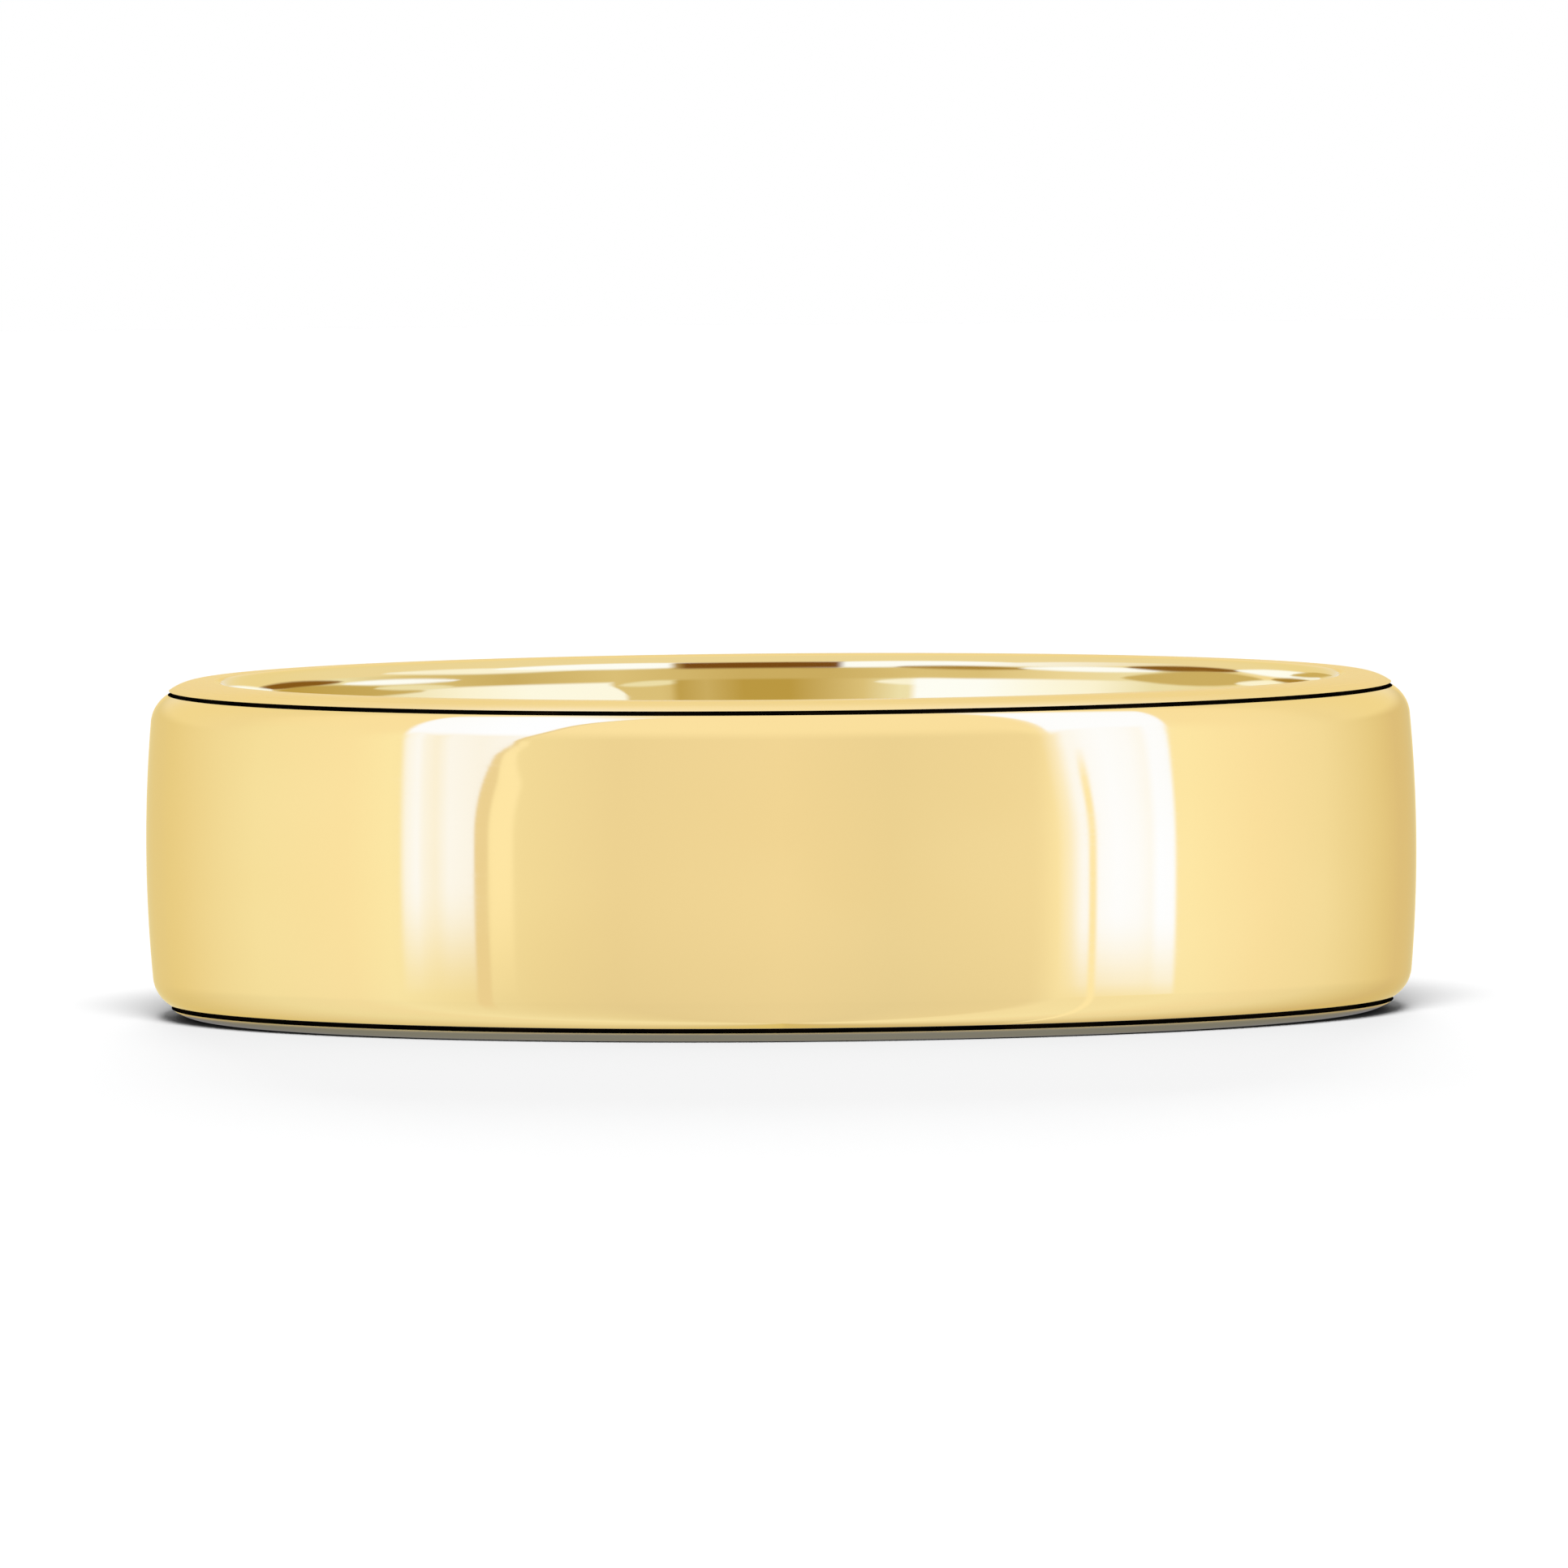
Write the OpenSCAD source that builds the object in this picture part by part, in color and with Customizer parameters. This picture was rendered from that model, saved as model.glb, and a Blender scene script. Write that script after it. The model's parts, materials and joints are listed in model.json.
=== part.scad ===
// Flat-court wedding band, turned from one seamless hoop of yellow gold.
// Millimetres. The bore runs along Z and the origin is its centre at mid-width,
// so the ring is the same above and below the XY plane.

/* [Ring size] */
// Diameter of the bore at mid-width, which is the finger size
bore_d = 19; // [14:0.1:24]
// Width of the band along the finger, land to land
band_w = 6; // [5:0.1:10]
// Thickness from the bore to the top of the crown
wall_t = 1.85; // [1.8:0.05:2.6]

/* [Outer face] */
// Height of the slight crown across the outer face, if it ran on to the creases
crown_h = 0.148; // [0.06:0.004:0.18]
// Radius of the rolled shoulder at each side of the outer face
shoulder_r = 0.62; // [0.5:0.02:0.7]
// Angle that a shoulder has turned through where it ends, in degrees
shoulder_turn = 60; // [50:1:66]

/* [Edge faces] */
// Height of an edge's land above its crease
edge_rise = 0.2; // [0.14:0.01:0.24]
// Width of the flat land that the ring rests on
land_w = 0.3; // [0.2:0.02:0.34]
// Width of the line cut along the crease between shoulder and edge
line_w = 0.07; // [0.04:0.01:0.1]
// Depth of that line
line_d = 0.06; // [0.03:0.01:0.12]

/* [Bore] */
// Length of the straight, cylindrical stretch of the bore
bore_straight = 2.4; // [1.6:0.1:3]
// How far the comfort-fit curve opens the bore, from its straight wall to the land
flare = 0.614; // [0.5:0.002:0.66]
// Radius of the lip between the comfort-fit curve and the land
lip_r = 0.2; // [0.1:0.02:0.3]

/* [Hidden] */

// Chords along each arc of the section, and facets round the ring
arc_steps = 14;
$fn = 180;

GOLD = [0.89, 0.73, 0.42];

bore_r = bore_d / 2;
outer_r = bore_r + wall_t;
land_z = band_w / 2;
straight_z = bore_straight / 2;

// The cut line's two lips, and how far its upper lip stands back from its lower one
line_low_z = land_z - edge_rise - line_w / 2;
line_high_z = line_low_z + line_w;
line_setback = 0.02;

// Crown and shoulder are tangent arcs: the shoulder starts where the crown has tilted this far
crown_r = (line_low_z ^ 2 + crown_h ^ 2) / (2 * crown_h);
crown_c = [outer_r - crown_r, 0];
crown_tilt = asin((line_low_z - shoulder_r * sin(shoulder_turn)) / (crown_r - shoulder_r));
shoulder_c = crown_c + (crown_r - shoulder_r) * [cos(crown_tilt), sin(crown_tilt)];
crease_r = shoulder_c[0] + shoulder_r * cos(shoulder_turn);

// Comfort-fit curve and lip are tangent arcs too
lip_c = [bore_r + flare, land_z - lip_r];
comfort_rise = lip_c[1] - straight_z;
comfort_r = (flare ^ 2 + comfort_rise ^ 2 - lip_r ^ 2) / (2 * (flare - lip_r));
comfort_c = [bore_r + comfort_r, straight_z];
comfort_turn = asin(comfort_rise / (comfort_r - lip_r));

// The edge face is an arc that rises from the cut line and ends level with the land
land_out_r = lip_c[0] + land_w;
edge_h = land_z - line_high_z;
edge_run = crease_r - line_setback - land_out_r;
edge_r = (edge_h ^ 2 + edge_run ^ 2) / (2 * edge_h);
edge_c = [land_out_r, land_z - edge_r];
edge_turn = asin(edge_run / edge_r);

// Points along an arc about c, from angle a0 to a1
function arc(c, r, a0, a1) =
    [for (i = [0:arc_steps]) let (a = a0 + (a1 - a0) * i / arc_steps) c + r * [cos(a), sin(a)]];

function flip_z(points) = [for (i = [len(points) - 1:-1:0]) [points[i][0], -points[i][1]]];

// Upper half of the section, from the shoulder's start, over the edge and down to the bore
upper_half = concat(
    arc(shoulder_c, shoulder_r, crown_tilt, shoulder_turn),
    [[crease_r - line_d, line_low_z], [crease_r - line_d, line_high_z]],
    arc(edge_c, edge_r, 90 - edge_turn, 90),
    arc(lip_c, lip_r, 90, 180 - comfort_turn),
    arc(comfort_c, comfort_r, 180 - comfort_turn, 180)
);

module section() {
    polygon(concat(arc(crown_c, crown_r, -crown_tilt, crown_tilt), upper_half, flip_z(upper_half)));
}

module band() {
    color(GOLD) rotate_extrude() section();
}

band();
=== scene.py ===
"""Looks of the plain gold wedding band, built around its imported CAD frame. Metres, +Z along the bore."""

import json
import math

import bpy
from mathutils import Matrix, Vector


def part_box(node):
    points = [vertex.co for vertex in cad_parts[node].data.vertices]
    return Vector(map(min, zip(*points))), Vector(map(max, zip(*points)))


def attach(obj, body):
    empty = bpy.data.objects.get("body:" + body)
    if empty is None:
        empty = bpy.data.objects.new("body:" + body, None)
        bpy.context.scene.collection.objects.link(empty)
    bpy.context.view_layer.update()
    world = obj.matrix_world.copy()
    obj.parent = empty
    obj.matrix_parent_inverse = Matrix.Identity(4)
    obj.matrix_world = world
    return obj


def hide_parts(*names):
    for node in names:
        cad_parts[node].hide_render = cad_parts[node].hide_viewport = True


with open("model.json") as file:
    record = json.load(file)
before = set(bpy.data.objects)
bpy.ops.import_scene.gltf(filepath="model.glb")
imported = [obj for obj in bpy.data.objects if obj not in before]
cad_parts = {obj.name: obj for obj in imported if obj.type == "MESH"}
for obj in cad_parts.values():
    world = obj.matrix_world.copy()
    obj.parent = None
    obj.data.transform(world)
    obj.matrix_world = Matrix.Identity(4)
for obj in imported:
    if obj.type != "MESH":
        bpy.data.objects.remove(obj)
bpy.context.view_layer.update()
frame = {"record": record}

MM = 0.001

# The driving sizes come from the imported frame: the band's box and its bore mount
BOX_LOW, BOX_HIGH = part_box("band")
BORE = next(m for m in frame["record"]["mounts"] if m["name"] == "finger_bore")
OUTER_R = BOX_HIGH.x
LAND_Z = BOX_HIGH.z
BORE_R = BORE["dims"]["r_mm"] * MM
STRAIGHT_Z = BORE["dims"]["length_mm"] * MM / 2

# The rest of the section repeats the CAD part's own values
CROWN_H = 0.148 * MM
SHOULDER_R = 0.62 * MM
SHOULDER_TURN = math.radians(60)
EDGE_RISE = 0.2 * MM
LAND_W = 0.3 * MM
LINE_W = 0.07 * MM
LINE_D = 0.06 * MM
LINE_SETBACK = 0.02 * MM
FLARE = 0.614 * MM
LIP_R = 0.2 * MM


# ---------------------------------------------------------------- section of the band

def polar(centre, radius, angle):
    return (centre[0] + radius * math.cos(angle), centre[1] + radius * math.sin(angle))


def arc(centre, radius, start, end, steps):
    return [polar(centre, radius, start + (end - start) * i / steps) for i in range(steps + 1)]


def comfort_curve():
    """Radius of the bore's comfort-fit curve, and the angle it has turned through where the lip starts."""
    rise = LAND_Z - LIP_R - STRAIGHT_Z
    radius = (FLARE ** 2 + rise ** 2 - LIP_R ** 2) / (2 * (FLARE - LIP_R))
    return radius, math.asin(rise / (radius - LIP_R))


def upper_half():
    """(radius, z) points from the equator of the outer face, over the edge, to the bore at mid-width.
    Also returns where the cut line and the edge face start, and where the edge face ends."""
    line_low = LAND_Z - EDGE_RISE - LINE_W / 2
    line_high = line_low + LINE_W

    crown_r = (line_low ** 2 + CROWN_H ** 2) / (2 * CROWN_H)
    crown_c = (OUTER_R - crown_r, 0.0)
    tilt = math.asin((line_low - SHOULDER_R * math.sin(SHOULDER_TURN)) / (crown_r - SHOULDER_R))
    shoulder_c = polar(crown_c, crown_r - SHOULDER_R, tilt)
    crease_r = shoulder_c[0] + SHOULDER_R * math.cos(SHOULDER_TURN)

    lip_c = (BORE_R + FLARE, LAND_Z - LIP_R)
    comfort_r, turn = comfort_curve()

    land_out = lip_c[0] + LAND_W
    edge_h = LAND_Z - line_high
    edge_run = crease_r - LINE_SETBACK - land_out
    edge_r = (edge_h ** 2 + edge_run ** 2) / (2 * edge_h)
    edge_turn = math.asin(edge_run / edge_r)

    right = math.pi / 2
    points = arc(crown_c, crown_r, 0.0, tilt, 10)[:-1]
    points += arc(shoulder_c, SHOULDER_R, tilt, SHOULDER_TURN, 18)
    line_start = len(points) - 1
    points += [(crease_r - LINE_D, line_low), (crease_r - LINE_D, line_high)]
    edge_start = len(points)
    points += arc((land_out, LAND_Z - edge_r), edge_r, right - edge_turn, right, 10)
    edge_end = len(points)
    points += arc(lip_c, LIP_R, right, math.pi - turn, 9)
    points += arc((BORE_R + comfort_r, STRAIGHT_Z), comfort_r, math.pi - turn, math.pi, 16)[1:]
    points += [(BORE_R, 0.0)]
    return points, line_start, edge_start, edge_end


# ---------------------------------------------------------------- the ring itself

RING_STEPS = 720


def lathe(name, points, line_start, edge_start, edge_end):
    """A closed ring of quads: points is the upper half of the section, mirrored below. The cut line takes
    material 1 and the edge faces take material 2, and the line's corners are sharp."""
    loop = points + [(r, -z) for r, z in points[-2:0:-1]]
    count = len(loop)
    corners = set(range(line_start, edge_start + 1))
    corners |= set(count - c for c in corners)
    bands = [0] * count
    for j in range(line_start, edge_end):
        kind = 1 if j < edge_start else 2
        bands[j] = kind
        bands[count - 1 - j] = kind

    verts = []
    for i in range(RING_STEPS):
        a = 2 * math.pi * i / RING_STEPS
        c, s = math.cos(a), math.sin(a)
        verts += [(r * c, r * s, z) for r, z in loop]
    faces = []
    for i in range(RING_STEPS):
        here, there = i * count, (i + 1) % RING_STEPS * count
        for j in range(count):
            k = (j + 1) % count
            faces.append((here + j, there + j, there + k, here + k))

    mesh = bpy.data.meshes.new(name)
    mesh.from_pydata(verts, [], faces)
    mesh.polygons.foreach_set("use_smooth", [True] * len(faces))
    mesh.polygons.foreach_set("material_index", bands * RING_STEPS)
    for edge in mesh.edges:
        a, b = edge.vertices
        if a % count == b % count and a % count in corners:
            edge.use_edge_sharp = True
    mesh.update()
    obj = bpy.data.objects.new(name, mesh)
    bpy.context.scene.collection.objects.link(obj)
    return obj


# ---------------------------------------------------------------- node graphs

class Graph:
    """Short calls for building a node graph of numbers."""

    def __init__(self, tree):
        self.tree = tree

    def node(self, kind, **values):
        node = self.tree.nodes.new(kind)
        for key, value in values.items():
            setattr(node, key, value)
        return node

    def feed(self, socket, value):
        if isinstance(value, (int, float, tuple)):
            socket.default_value = value
        else:
            self.tree.links.new(value, socket)

    def math(self, operation, *values):
        node = self.node("ShaderNodeMath", operation=operation)
        for socket, value in zip(node.inputs, values):
            self.feed(socket, value)
        return node.outputs[0]

    def step(self, value, start, end, low=0.0, high=1.0):
        """low before start and high after end, with a smooth change between them."""
        node = self.node("ShaderNodeMapRange", interpolation_type="SMOOTHSTEP")
        self.feed(node.inputs["Value"], value)
        node.inputs["From Min"].default_value = start
        node.inputs["From Max"].default_value = end
        node.inputs["To Min"].default_value = low
        node.inputs["To Max"].default_value = high
        return node.outputs["Result"]

    def bump(self, value, start, end, soft):
        """1 between start and end, 0 outside, with soft edges."""
        rise = self.step(value, start - soft / 2, start + soft / 2)
        fall = self.step(value, end - soft / 2, end + soft / 2, 1.0, 0.0)
        return self.math("MULTIPLY", rise, fall)

    def mix(self, factor, a, b):
        node = self.node("ShaderNodeMix", data_type="RGBA")
        self.feed(node.inputs["Factor"], factor)
        self.feed(node.inputs[6], a)
        self.feed(node.inputs[7], b)
        return node.outputs[2]

    def ramp(self, value, stops):
        node = self.node("ShaderNodeValToRGB")
        self.feed(node.inputs[0], value)
        elements = node.color_ramp.elements
        while len(elements) > 1:
            elements.remove(elements[0])
        for i, (place, colour) in enumerate(stops):
            stop = elements[0] if i == 0 else elements.new(place)
            stop.position = place
            stop.color = (*colour, 1) if isinstance(colour, tuple) else (colour, colour, colour, 1)
        return node.outputs[0]


def new_material(name):
    material = bpy.data.materials.new(name)
    material.use_nodes = True
    return material, material.node_tree


# ---------------------------------------------------------------- materials

GOLD = (0.985, 0.765, 0.34)
WARM_GOLD = (0.975, 0.75, 0.325)


def stretched_noise(g, coords, scales, detail=2.0):
    """Noise with its own scale, per metre, along each axis of coords."""
    stretch = g.node("ShaderNodeVectorMath", operation="MULTIPLY")
    g.feed(stretch.inputs[0], coords)
    stretch.inputs[1].default_value = scales
    noise = g.node("ShaderNodeTexNoise")
    g.feed(noise.inputs["Vector"], stretch.outputs[0])
    noise.inputs["Scale"].default_value = 1.0
    noise.inputs["Detail"].default_value = detail
    return noise.outputs[0]


def relief(g, height, distance, normal=None):
    node = g.node("ShaderNodeBump")
    node.inputs["Strength"].default_value = 1.0
    node.inputs["Distance"].default_value = distance
    g.feed(node.inputs["Height"], height)
    if normal is not None:
        g.feed(node.inputs["Normal"], normal)
    return node.outputs[0]


def gold_shader(tree):
    """A metal shader whose gold drifts a little, over a few millimetres, towards its warmer tone."""
    g = Graph(tree)
    shader = tree.nodes["Principled BSDF"]
    coords = g.node("ShaderNodeTexCoord").outputs["Object"]
    drift = g.step(stretched_noise(g, coords, (170, 170, 260)), 0.35, 0.65)
    g.feed(shader.inputs["Base Color"], g.mix(drift, (*GOLD, 1), (*WARM_GOLD, 1)))
    shader.inputs["Metallic"].default_value = 1.0
    shader.inputs["Specular Tint"].default_value = (1.0, 0.9, 0.6, 1)
    return g, shader, coords


def polished_gold():
    """Mirror polish with faint polishing lines round the ring and hardly any waviness."""
    material, tree = new_material("polished_gold")
    g, shader, coords = gold_shader(tree)
    lines = stretched_noise(g, coords, (300, 300, 16000), 3.0)
    smudge = stretched_noise(g, coords, (500, 500, 700), 3.0)
    haze = g.math("ADD", g.step(smudge, 0.35, 0.75, 0.035, 0.06), g.step(lines, 0.4, 0.8, 0.0, 0.02))
    g.feed(shader.inputs["Roughness"], haze)
    waves = stretched_noise(g, coords, (140, 140, 200), 0.0)
    soft = relief(g, waves, 0.02 * MM)
    g.feed(shader.inputs["Normal"], relief(g, lines, 0.00004 * MM, soft))
    return material


def satin_gold():
    """The edge faces, lapped flat, with fine rings that run round the bore."""
    material, tree = new_material("satin_gold")
    g, shader, coords = gold_shader(tree)
    split = g.node("ShaderNodeSeparateXYZ")
    g.feed(split.inputs[0], coords)
    across = g.math("POWER", split.outputs[0], 2.0)
    along = g.math("POWER", split.outputs[1], 2.0)
    radius = g.math("SQRT", g.math("ADD", across, along))
    place = g.node("ShaderNodeCombineXYZ")
    g.feed(place.inputs[0], radius)
    rings = stretched_noise(g, place.outputs[0], (25000, 1, 1), 2.0)
    g.feed(shader.inputs["Roughness"], g.step(rings, 0.3, 0.7, 0.27, 0.35))
    g.feed(shader.inputs["Normal"], relief(g, rings, 0.0002 * MM))
    return material


def painted_line_shade():
    """The floor of the cut line, painted near black as the shade inside the groove."""
    material, tree = new_material("painted_line_shade")
    g = Graph(tree)
    shader = tree.nodes["Principled BSDF"]
    coords = g.node("ShaderNodeTexCoord").outputs["Object"]
    patches = stretched_noise(g, coords, (900, 900, 900), 3.0)
    # Painted shade: near-black and dark brown colours in place of the shade inside the groove
    dark, brown = (0.003, 0.002, 0.001, 1), (0.014, 0.008, 0.003, 1)
    g.feed(shader.inputs["Base Color"], g.mix(g.step(patches, 0.4, 0.75), dark, brown))
    g.feed(shader.inputs["Roughness"], g.step(patches, 0.3, 0.7, 0.95, 0.8))
    shader.inputs["Specular IOR Level"].default_value = 0.0
    return material


def pale_floor(name, albedo):
    material, tree = new_material(name)
    g = Graph(tree)
    shader = tree.nodes["Principled BSDF"]
    coords = g.node("ShaderNodeTexCoord").outputs["Object"]
    tone = g.step(stretched_noise(g, coords, (30, 30, 30)), 0.3, 0.7, albedo, albedo * 1.01)
    grey = g.node("ShaderNodeCombineXYZ")
    for socket in grey.inputs:
        g.feed(socket, tone)
    g.feed(shader.inputs["Base Color"], grey.outputs[0])
    shader.inputs["Roughness"].default_value = 0.9
    shader.inputs["Specular IOR Level"].default_value = 0.0
    return material


# ---------------------------------------------------------------- studio

def reflected(red, green, blue):
    """The light that gold reflects as this linear colour."""
    return (red / GOLD[0], green / GOLD[1], blue / GOLD[2])


# Light round the horizon by heading from the camera's side, + to the right
SURROUND = (
    (-180, (0.79, 0.73, 0.46)),
    (-168, (0.79, 0.74, 0.52)),
    (-155, (0.80, 0.78, 0.72)),
    (-138, (0.86, 0.85, 0.84)),
    (-111, (0.94, 0.97, 0.99)),
    (-86, (0.98, 0.99, 1.03)),
    (-76, (1.00, 1.05, 1.12)),
    (-46, (0.90, 0.90, 0.89)),
    (-30, (0.86, 0.84, 0.83)),
    (0, (0.90, 0.88, 0.89)),
    (20, (0.86, 0.85, 0.86)),
    (47, (0.90, 0.89, 0.90)),
    (52, (0.99, 1.01, 1.06)),
    (79, (1.01, 1.05, 1.12)),
    (97, (0.98, 0.98, 1.02)),
    (117, (0.92, 0.93, 0.96)),
    (139, (0.81, 0.79, 0.76)),
    (152, (0.74, 0.69, 0.65)),
    (168, (0.73, 0.67, 0.48)),
    (180, (0.73, 0.66, 0.42)),
)
OVERHEAD = (0.98, 0.98, 1.02)
BACKDROP = (0.90, 0.90, 0.92)
HORIZON = (0.89, 0.76, 0.42)
SOFTBOX = reflected(1.0, 1.0, 1.0)
FRAME_DARK = (0.85, 0.82, 0.81)
FRAME_LIGHT = (1.01, 1.03, 1.08)
# How much of that light is left below the horizon
UNDERSIDE = 0.93


# Height, as a unit direction's z, that is mirrored where the crown ends and the shoulder starts
SHOULDER_Z = 0.131

# The edges of a softbox fan out from a point in the plan of directions. Its panel is a run of (angle in
# that fan in degrees, cover), and its roof is the part of the same fan overhead
FAN_SPAN = 50.0
LEFT_CENTRE = (0.696, 1.66)
LEFT_EDGE = 34.9
LEFT_PANEL = (
    (25.0, 1.0), (34.5, 0.64), (36.75, 0.74), (37.75, 0.48), (38.6, 0.62), (39.1, 0.84), (39.95, 0.64),
    (40.4, 0.0),
)
LEFT_ROOF = (25, 40.3, 0.6)
LEFT_LIGHT_LINE = (-2.7, -1.0, 0.5)
LEFT_DARK_LINE = (-0.95, 0.1, 0.3)
RIGHT_CENTRE = (-0.376, 1.36)
RIGHT_PANEL = (
    (30.2, 0.0), (31.25, 0.27), (32.1, 0.76), (32.75, 0.8), (33.75, 0.89), (35.0, 0.95), (36.75, 0.9),
    (37.85, 0.78), (38.5, 1.0), (39.825, 0.98), (40.175, 0.0),
)
RIGHT_ROOF = (31.0, 40.2, 0.4)
RIGHT_SEAM = (32.7, 33.3, 0.4)


def fan_angle(g, across, y, centre):
    return g.math("DEGREES", g.math("ARCTAN2", across, g.math("SUBTRACT", centre[1], y)))


def panel_cover(g, angle, z, panel, roof, fade):
    """How much a softbox covers: its panel, which fades out downwards, and its roof."""
    cover = g.ramp(g.math("DIVIDE", angle, FAN_SPAN), [(place / FAN_SPAN, level) for place, level in panel])
    overhead = g.math("MULTIPLY", g.bump(angle, *roof), g.step(z, 0.1, 0.6))
    return g.math("MAXIMUM", g.math("MULTIPLY", cover, g.step(z, *fade)), overhead)


def left_softbox(g, x, y, z, colour):
    """A tall softbox that leans over the ring from the left, with a frame of a light and a dark line."""
    fan = fan_angle(g, g.math("SUBTRACT", LEFT_CENTRE[0], x), y, LEFT_CENTRE)
    rise = g.math("DIVIDE", g.math("MINIMUM", g.math("MAXIMUM", z, 0.0), SHOULDER_Z), SHOULDER_Z)
    corner = g.math("MULTIPLY", g.math("POWER", rise, 2.1), 2.65)
    lean = g.math("ADD", corner, g.step(z, 0.12, 0.8, 0.0, 1.5))
    inside = g.math("SUBTRACT", g.math("ADD", fan, lean), LEFT_EDGE)
    frame_line = g.math("MULTIPLY", inside, g.step(z, 0.06, 0.13, 1.0, 2.6))
    low = g.math("MULTIPLY", g.step(z, 0.08, 0.3, 1.0, 0.0), g.step(z, -0.23, -0.05))
    light_line = g.math("MULTIPLY", g.bump(frame_line, *LEFT_LIGHT_LINE), low)
    colour = g.mix(light_line, colour, (*FRAME_LIGHT, 1))
    dark_line = g.math("MULTIPLY", g.bump(frame_line, *LEFT_DARK_LINE), g.step(z, -0.7, -0.25))
    colour = g.mix(dark_line, colour, (*FRAME_DARK, 1))
    cover = panel_cover(g, fan, z, LEFT_PANEL, LEFT_ROOF, (-0.21, -0.05))
    edge = g.step(inside, -0.1, 0.15)
    return g.mix(g.math("MULTIPLY", cover, edge), colour, (*SOFTBOX, 1))


def right_softbox(g, x, y, z, colour):
    """The same from the right, with a thin seam near where it starts."""
    fan = fan_angle(g, g.math("SUBTRACT", x, RIGHT_CENTRE[0]), y, RIGHT_CENTRE)
    lean = g.math("MULTIPLY", g.step(z, -0.02, 0.135), g.step(fan, 31, 40.3, 1.2, 0.35))
    curve = g.math("ADD", fan, lean)
    cover = panel_cover(g, curve, z, RIGHT_PANEL, RIGHT_ROOF, (-0.24, -0.1))
    seam = g.math("MULTIPLY", g.bump(curve, *RIGHT_SEAM), g.step(z, 0.05, 0.105, 1.0, 0.0))
    colour = g.mix(cover, colour, (*SOFTBOX, 1))
    return g.mix(seam, colour, (*FRAME_LIGHT, 1))


# What lights the floor and other rough surfaces from all round
FILL = (0.15, 0.15, 0.15)


def soft_sun(name, heading, elevation, spread, strength):
    """A broad light that only falls on the floor: the ring shows the studio's cards instead."""
    data = bpy.data.lights.new(name, "SUN")
    data.angle = math.radians(spread)
    data.energy = strength
    data.specular_factor = 0.0
    sun = bpy.data.objects.new(name, data)
    bpy.context.scene.collection.objects.link(sun)
    tilt = Matrix.Rotation(math.radians(90 - elevation), 4, "X")
    sun.matrix_world = Matrix.Rotation(math.radians(heading), 4, "Z") @ tilt
    sun.visible_camera = False
    sun.visible_glossy = False


def studio_world():
    world = bpy.data.worlds.new("studio")
    bpy.context.scene.world = world
    world.use_nodes = True
    tree = world.node_tree
    g = Graph(tree)
    background = tree.nodes["Background"]

    direction = g.node("ShaderNodeTexCoord").outputs["Generated"]
    split = g.node("ShaderNodeSeparateXYZ")
    g.feed(split.inputs[0], direction)
    x, y, z = split.outputs
    heading = g.math("DEGREES", g.math("ARCTAN2", x, g.math("MULTIPLY", y, -1.0)))
    turn = g.math("ADD", g.math("DIVIDE", heading, 360.0), 0.5)
    colour = g.ramp(turn, [(angle / 360 + 0.5, light) for angle, light in SURROUND])
    colour = g.mix(g.step(z, 0.25, 0.8), colour, (*OVERHEAD, 1))
    dimmed = g.node("ShaderNodeVectorMath", operation="SCALE")
    g.feed(dimmed.inputs[0], colour)
    dimmed.inputs["Scale"].default_value = UNDERSIDE
    colour = g.mix(g.step(z, -0.3, -0.06, 1.0, 0.0), colour, dimmed.outputs[0])
    behind = g.step(y, 0.32, 0.5)
    outside = g.math("MAXIMUM", g.step(x, -0.3, -0.1), behind)
    colour = g.mix(outside, left_softbox(g, x, y, z, colour), colour)
    outside = g.math("MAXIMUM", g.step(x, 0.1, 0.3, 1.0, 0.0), behind)
    colour = g.mix(outside, right_softbox(g, x, y, z, colour), colour)
    high = g.step(z, 0.06, 0.2)
    colour = g.mix(g.math("MULTIPLY", g.step(y, 0.45, 0.65), high), colour, (*BACKDROP, 1))
    colour = g.mix(g.step(y, 0.985, 0.997), colour, (*HORIZON, 1))

    ray = g.node("ShaderNodeLightPath")
    plain = g.mix(ray.outputs["Is Camera Ray"], (*FILL, 1), (1.0, 1.0, 1.0, 1))
    g.feed(background.inputs["Color"], g.mix(ray.outputs["Is Glossy Ray"], plain, colour))


# ---------------------------------------------------------------- reflections in the bore

# Linear colours that the streaks make in the gold
WHITE = (1.0, 1.0, 0.92)
IVORY = (0.99, 0.95, 0.76)
CREAM = (0.97, 0.90, 0.65)
PALE = (0.85, 0.74, 0.40)
LIP_GOLD = (0.84, 0.67, 0.31)
BRIGHT = (0.71, 0.53, 0.19)
SOFT = (0.60, 0.42, 0.12)
BRONZE = (0.50, 0.32, 0.055)
SEPIA = (0.39, 0.22, 0.035)
UMBER = (0.24, 0.10, 0.010)
BROWN = (0.19, 0.067, 0.007)


def band(low, high, *stops):
    """Sections of a streak with level edges, whose colour changes from stop to stop along it. All angles
    are in degrees: a section has its heading round the bore (from the back, + to the right), the tilts
    of the bore's surface at its two edges, and its colour."""
    return [(turn, low, high, colour) for turn, colour in stops]


SPINDLE_STEPS = 8
TIP_HALF = 0.1


def spindle(start, end, tilt, rise, height, first, last=None):
    """Sections of a streak with pointed ends, whose middle line climbs by rise. It is about this high at
    its middle, and its colour runs from first to last."""
    sections = []
    for i in range(SPINDLE_STEPS + 1):
        share = i / SPINDLE_STEPS
        along = 2 * share - 1
        middle = tilt + rise * along / 2
        half = height / 2 * (1 - along ** 2) + TIP_HALF
        sections.append((blend(start, end, share), middle - half, middle + half,
                         blend(first, last or first, share)))
    return sections


def blend(a, b, t):
    if isinstance(a, tuple):
        return tuple(blend(p, q, t) for p, q in zip(a, b))
    return a + (b - a) * t


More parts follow.
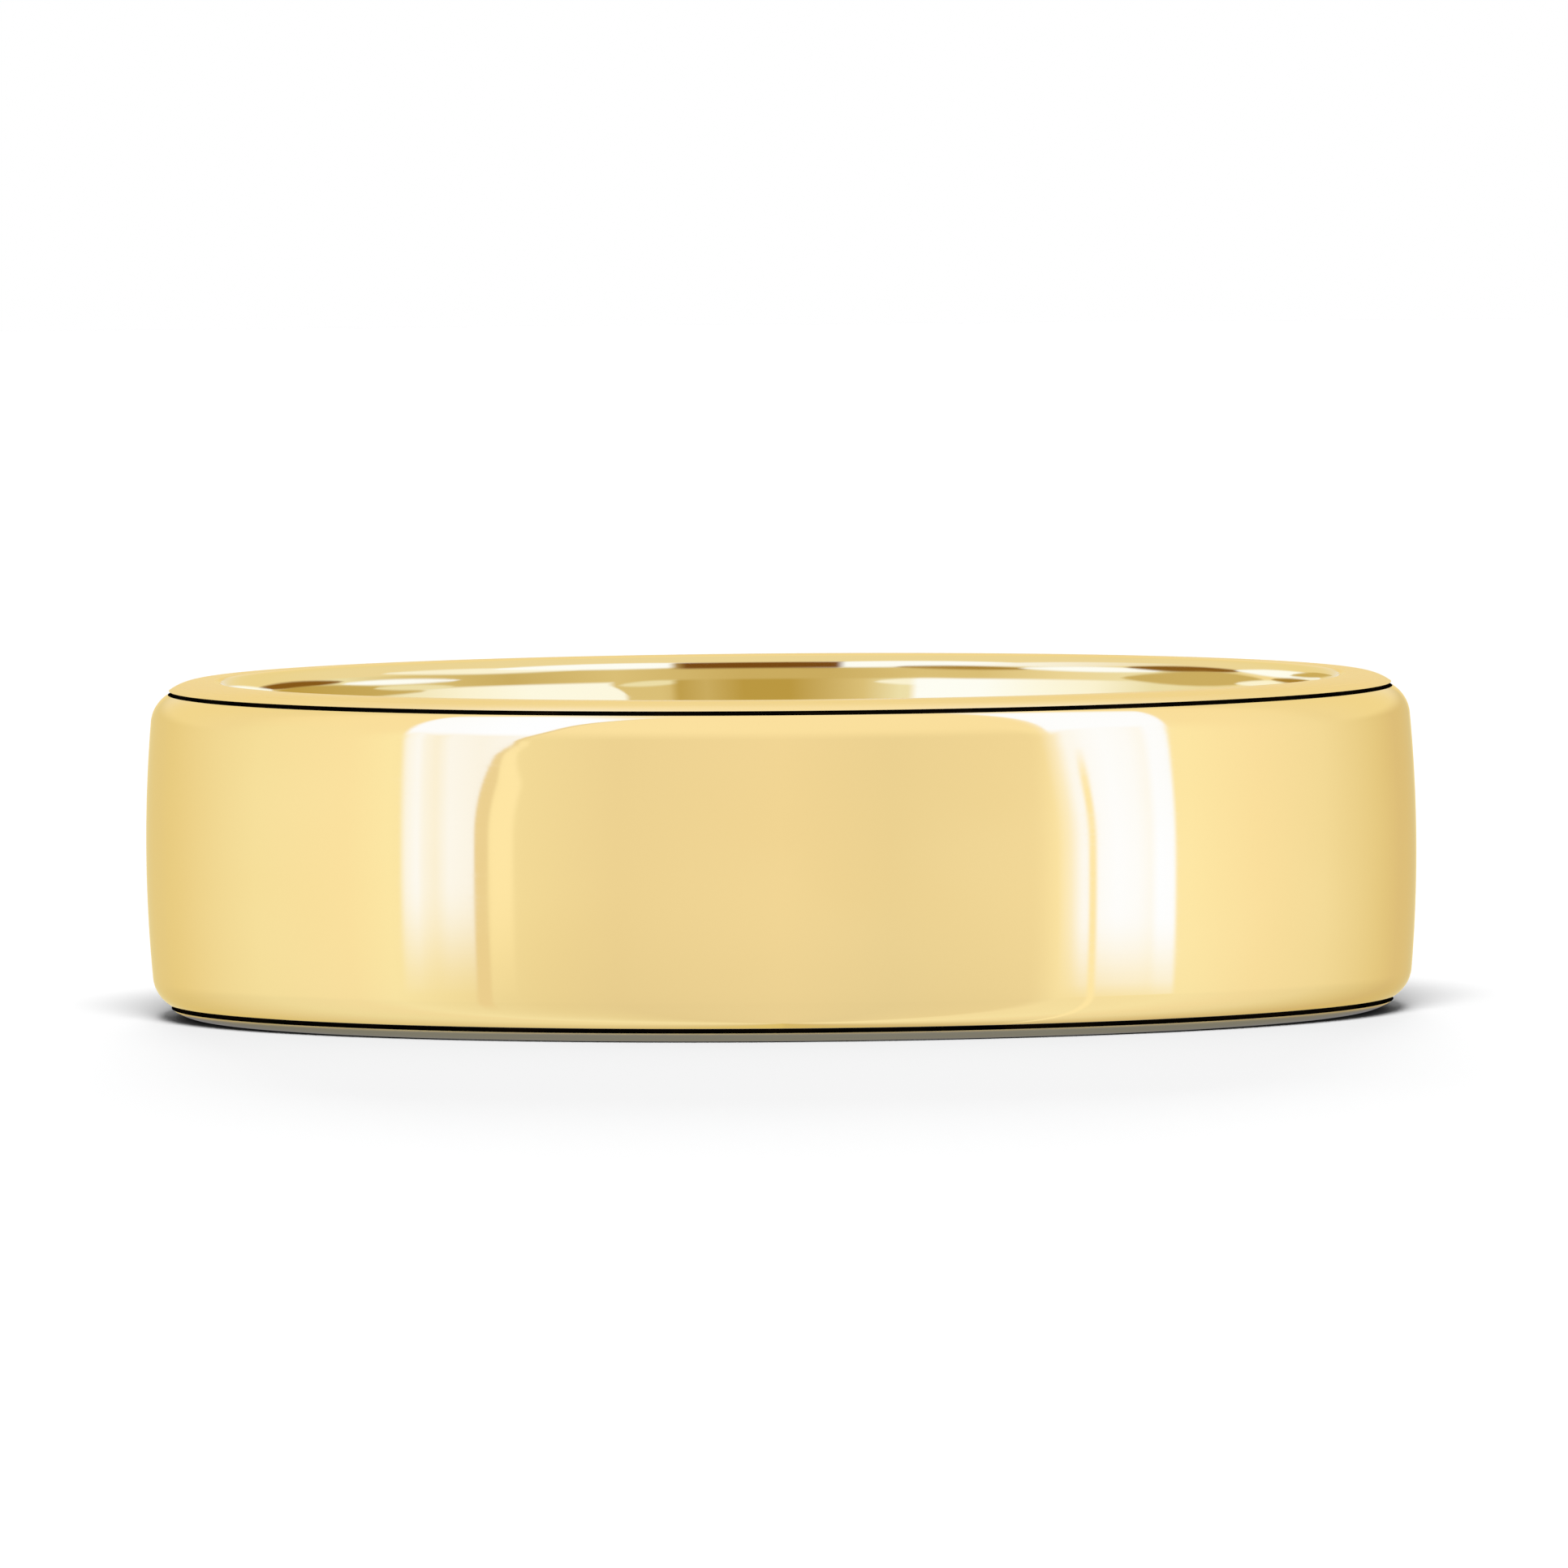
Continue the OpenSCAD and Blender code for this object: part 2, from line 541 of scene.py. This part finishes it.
# Small cards that hang over the back of the bore, each where its comfort-fit curve mirrors it to the
# camera. Later streaks lie in front of earlier ones
STREAKS = (
    ("lip", band(26.5, 60, (-88, LIP_GOLD), (88, LIP_GOLD))),
    ("middle", band(21, 27, (-66, LIP_GOLD), (-54, PALE), (-44, BRIGHT), (-30, SOFT), (-18, BRIGHT),
                    (-4, SOFT), (5, SOFT), (15, BRIGHT), (22, BRIGHT), (32, LIP_GOLD), (44, PALE),
                    (58, LIP_GOLD))),
    ("wing_left", band(14, 22.5, (-19, BRIGHT), (-13, BRIGHT), (-9, SOFT))),
    ("panel_left", band(14, 22.5, (-62, PALE), (-48, PALE), (-36, CREAM), (-28, IVORY), (-18, IVORY))),
    ("panel_left_end", spindle(-22, -16.5, 17.5, 0, 8, IVORY)),
    ("gleam_left", spindle(-18, -10, 22, 1, 1.5, PALE)),
    ("bronze", band(14, 23, (-12, BRONZE), (-8, SOFT), (-4, BRONZE), (1, BRONZE), (5, SOFT), (9, BRIGHT),
                    (13, PALE), (15, PALE))),
    ("wedge_right", spindle(10, 22, 22, 0, 2, CREAM)),
    ("panel_right", band(14, 23, (14, WHITE), (22, WHITE), (29, IVORY), (36, CREAM), (44, PALE),
                         (57, LIP_GOLD))),
    ("cream_top_left", spindle(-47, -21, 27.5, -1, 2, CREAM)),
    ("white_top_left", spindle(-32, -3, 28, 0, 2.5, WHITE)),
    ("white_top_right", spindle(-3, 26, 28, 1, 2.5, WHITE)),
    ("brown_top", band(26.5, 29, (-12, SOFT), (-10, BROWN), (6, BROWN), (7, BROWN))),
    ("cream_top_right", spindle(18, 50, 28.5, 2.5, 2, WHITE, LIP_GOLD)),
    ("seam_right", spindle(12, 28, 26.5, -0.5, 1, SEPIA)),
    ("streak_right", spindle(26, 45, 26.5, 0, 1.5, WHITE)),
    ("brown_right", spindle(39, 58, 27.5, 0, 2, UMBER)),
    ("bronze_right", spindle(39, 63, 24.5, 1, 4.5, SOFT)),
    ("spot_right", spindle(56, 79, 27.5, -0.5, 2.5, WHITE)),
    ("spot_low_right", spindle(57, 70, 24, 1, 2, CREAM)),
    ("brown_low_right", spindle(64, 78, 25.5, 0, 1.5, SEPIA)),
    ("tip_right", spindle(68, 85, 28.5, 2.5, 2, SOFT)),
    ("brown_left", spindle(-73, -53, 26, 0, 2, UMBER)),
    ("bronze_left", spindle(-70, -41, 23, -2.5, 4, BRONZE, SOFT)),
    ("streak_left", spindle(-54, -36, 25, -0.5, 1.5, WHITE)),
    ("streak_low_left", spindle(-49, -37, 23, -0.5, 1.5, PALE)),
    ("spot_left", spindle(-90, -68, 26.5, -3, 2.5, WHITE)),
)
# Painted reflection: the grey that the lower edge face mirrors, from a glowing card flat on the floor under
# the ring, in place of the shaded floor
FOOT_GREY = reflected(0.21, 0.20, 0.17)

# How far a card hangs from the gold at the back of the bore, and how much nearer each later one is
CARD_REACH = 0.3 * BORE_R
LAYER_STEP = 0.005
# Degrees of tilt over which a card's edges fade, and between its rows of corners
SOFT_EDGE = 0.35
ROW_TILT = 2


def mirrored_point(turn, tilt, reach):
    """The point that the camera sees a short way off in the upper bore, where the comfort-fit curve or
    the lip has this tilt."""
    turn, tilt = math.radians(turn), math.radians(tilt)
    comfort_r, comfort_turn = comfort_curve()
    c, s = math.cos(tilt), math.sin(tilt)
    if tilt <= comfort_turn:
        r, z = BORE_R + comfort_r * (1 - c), STRAIGHT_Z + comfort_r * s
    else:
        r, z = BORE_R + FLARE - LIP_R * c, LAND_Z - LIP_R + LIP_R * s
    wall = Vector((r * math.sin(turn), r * math.cos(turn), z))
    normal = Vector((-c * math.sin(turn), -c * math.cos(turn), s))
    look = Vector((0, math.cos(VIEW_PITCH), -math.sin(VIEW_PITCH)))
    return wall + look.reflect(normal) * reach * math.cos(turn)


def glow():
    """Emission in a card's own vertex colours, clear where their alpha is 0."""
    material, tree = new_material("card_glow")
    tree.nodes.clear()
    g = Graph(tree)
    light = g.node("ShaderNodeAttribute", attribute_name="light")
    emission = g.node("ShaderNodeEmission")
    g.feed(emission.inputs["Color"], light.outputs["Color"])
    cover = g.node("ShaderNodeMixShader")
    g.feed(cover.inputs[0], light.outputs["Alpha"])
    g.feed(cover.inputs[1], g.node("ShaderNodeBsdfTransparent").outputs[0])
    g.feed(cover.inputs[2], emission.outputs[0])
    g.feed(g.node("ShaderNodeOutputMaterial").inputs["Surface"], cover.outputs[0])
    material.cycles.emission_sampling = "NONE"
    return material


def fine_sections(sections):
    """The same run of sections with a section about every degree."""
    fine = []
    for first, second in zip(sections, sections[1:]):
        steps = max(1, round(second[0] - first[0]))
        fine += [blend(first, second, i / steps) for i in range(steps)]
    return fine + [sections[-1]]


def streak(material, name, sections, reach):
    """A card with soft edges and clear ends. Its rows keep it close to the curve it is mirrored in."""
    fine = fine_sections(sections)
    rows = max(1, math.ceil(max(high - low for _, low, high, _ in fine) / ROW_TILT))
    verts = []
    lights = []
    for i, (turn, low, high, colour) in enumerate(fine):
        soft = min(SOFT_EDGE, (high - low) / 2)
        inside = 0.0 if i in (0, len(fine) - 1) else 1.0
        tilts = [blend(low + soft, high - soft, j / rows) for j in range(rows + 1)]
        for j, tilt in enumerate([low - soft] + tilts + [high + soft]):
            verts.append(mirrored_point(turn, tilt, reach))
            lights.append((*reflected(*colour), inside if 0 < j < rows + 2 else 0.0))
    faces = []
    for i in range(len(fine) - 1):
        for j in range(rows + 2):
            k = (rows + 3) * i + j
            faces.append((k, k + rows + 3, k + rows + 4, k + 1))
    mesh = bpy.data.meshes.new(name)
    mesh.from_pydata(verts, [], faces)
    obj = bpy.data.objects.new(name, mesh)
    bpy.context.scene.collection.objects.link(obj)
    mirrored_only(obj, material, lights)


def mirrored_only(obj, material, lights):
    """Makes obj a card with these lights at its corners, which only reflections see."""
    colours = obj.data.color_attributes.new("light", "FLOAT_COLOR", "POINT")
    for corner, light in zip(colours.data, lights):
        corner.color = light
    obj.data.materials.append(material)
    obj.visible_camera = False
    obj.visible_diffuse = False
    obj.visible_shadow = False
    obj.visible_transmission = False


# ---------------------------------------------------------------- floor

FLOOR_R = 0.4
CONTACT_IN = BORE_R + 0.2 * MM
CONTACT_OUT = OUTER_R - 0.5 * MM


def annulus(name, inner, outer, steps=128):
    """A flat ring of floor, or a disc when inner is 0."""
    verts = []
    for r in (inner, outer):
        for i in range(steps):
            a = 2 * math.pi * i / steps
            verts.append((r * math.cos(a), r * math.sin(a), -LAND_Z))
    faces = []
    for i in range(steps):
        k = (i + 1) % steps
        faces.append((i, steps + i, steps + k, k))
    if inner == 0:
        verts = verts[steps:]
        faces = [tuple(range(steps))]
    mesh = bpy.data.meshes.new(name)
    mesh.from_pydata(verts, [], faces)
    obj = bpy.data.objects.new(name, mesh)
    bpy.context.scene.collection.objects.link(obj)
    return obj


def floor():
    """Pale floor, with a lower albedo under the ring as painted shade. Reflections see only the part inside
    the ring.
    """
    pale = pale_floor("pale_floor", 0.9)
    # Painted shade: the floor under the ring is given a darker albedo than the rest
    contact = pale_floor("contact_floor", 0.8)
    parts = (
        (annulus("floor_inside", 0, CONTACT_IN), pale, True),
        (annulus("floor_contact", CONTACT_IN, CONTACT_OUT), contact, False),
        (annulus("floor_round", CONTACT_OUT, FLOOR_R), pale, False),
    )
    for obj, material, mirrored in parts:
        obj.data.materials.append(material)
        obj.visible_glossy = mirrored


def foot_card(material):
    """A glowing grey card flat on the floor under the ring, seen only in reflections: a painted reflection
    for its lower edge face to mirror.
    """
    card = annulus("foot_card", CONTACT_IN, CONTACT_OUT)
    mirrored_only(card, material, [(*FOOT_GREY, 1)] * len(card.data.vertices))


# ---------------------------------------------------------------- camera

# The camera's distance and height angle from the ring's centre, and where it aims. Angles are in radians
VIEW_DISTANCE = 57 * OUTER_R
VIEW_PITCH = 0.045035
AIM_PITCH = 0.043373
YAW = -0.000088
ROLL = -0.0080
LENS = 831.0


def photo_camera():
    data = bpy.data.cameras.new("camera")
    data.lens = LENS
    data.sensor_width = 36
    data.clip_start = VIEW_DISTANCE / 10
    data.clip_end = VIEW_DISTANCE * 10
    camera = bpy.data.objects.new("camera", data)
    bpy.context.scene.collection.objects.link(camera)
    place = Vector((0, -math.cos(VIEW_PITCH), math.sin(VIEW_PITCH))) * VIEW_DISTANCE
    aim = Matrix.Rotation(YAW, 4, "Z") @ Matrix.Rotation(math.pi / 2 - AIM_PITCH, 4, "X")
    camera.matrix_world = Matrix.Translation(place) @ aim @ Matrix.Rotation(ROLL, 4, "Z")
    bpy.context.scene.camera = camera


# ---------------------------------------------------------------- build

photo_camera()
studio_world()
soft_sun("front_light", heading=0, elevation=48, spread=28, strength=3.65)
soft_sun("back_light", heading=180, elevation=8, spread=18, strength=3.3)
card_glow = glow()
for layer, (streak_name, streak_sections) in enumerate(STREAKS):
    streak(card_glow, streak_name, streak_sections, CARD_REACH * (1 - layer * LAYER_STEP))
floor()
foot_card(card_glow)

ring = lathe("gold_band", *upper_half())
for finish in (polished_gold(), painted_line_shade(), satin_gold()):
    ring.data.materials.append(finish)
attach(ring, "root")
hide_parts("band")

scene = bpy.context.scene
scene.view_settings.view_transform = "Standard"
scene.cycles.caustics_reflective = False
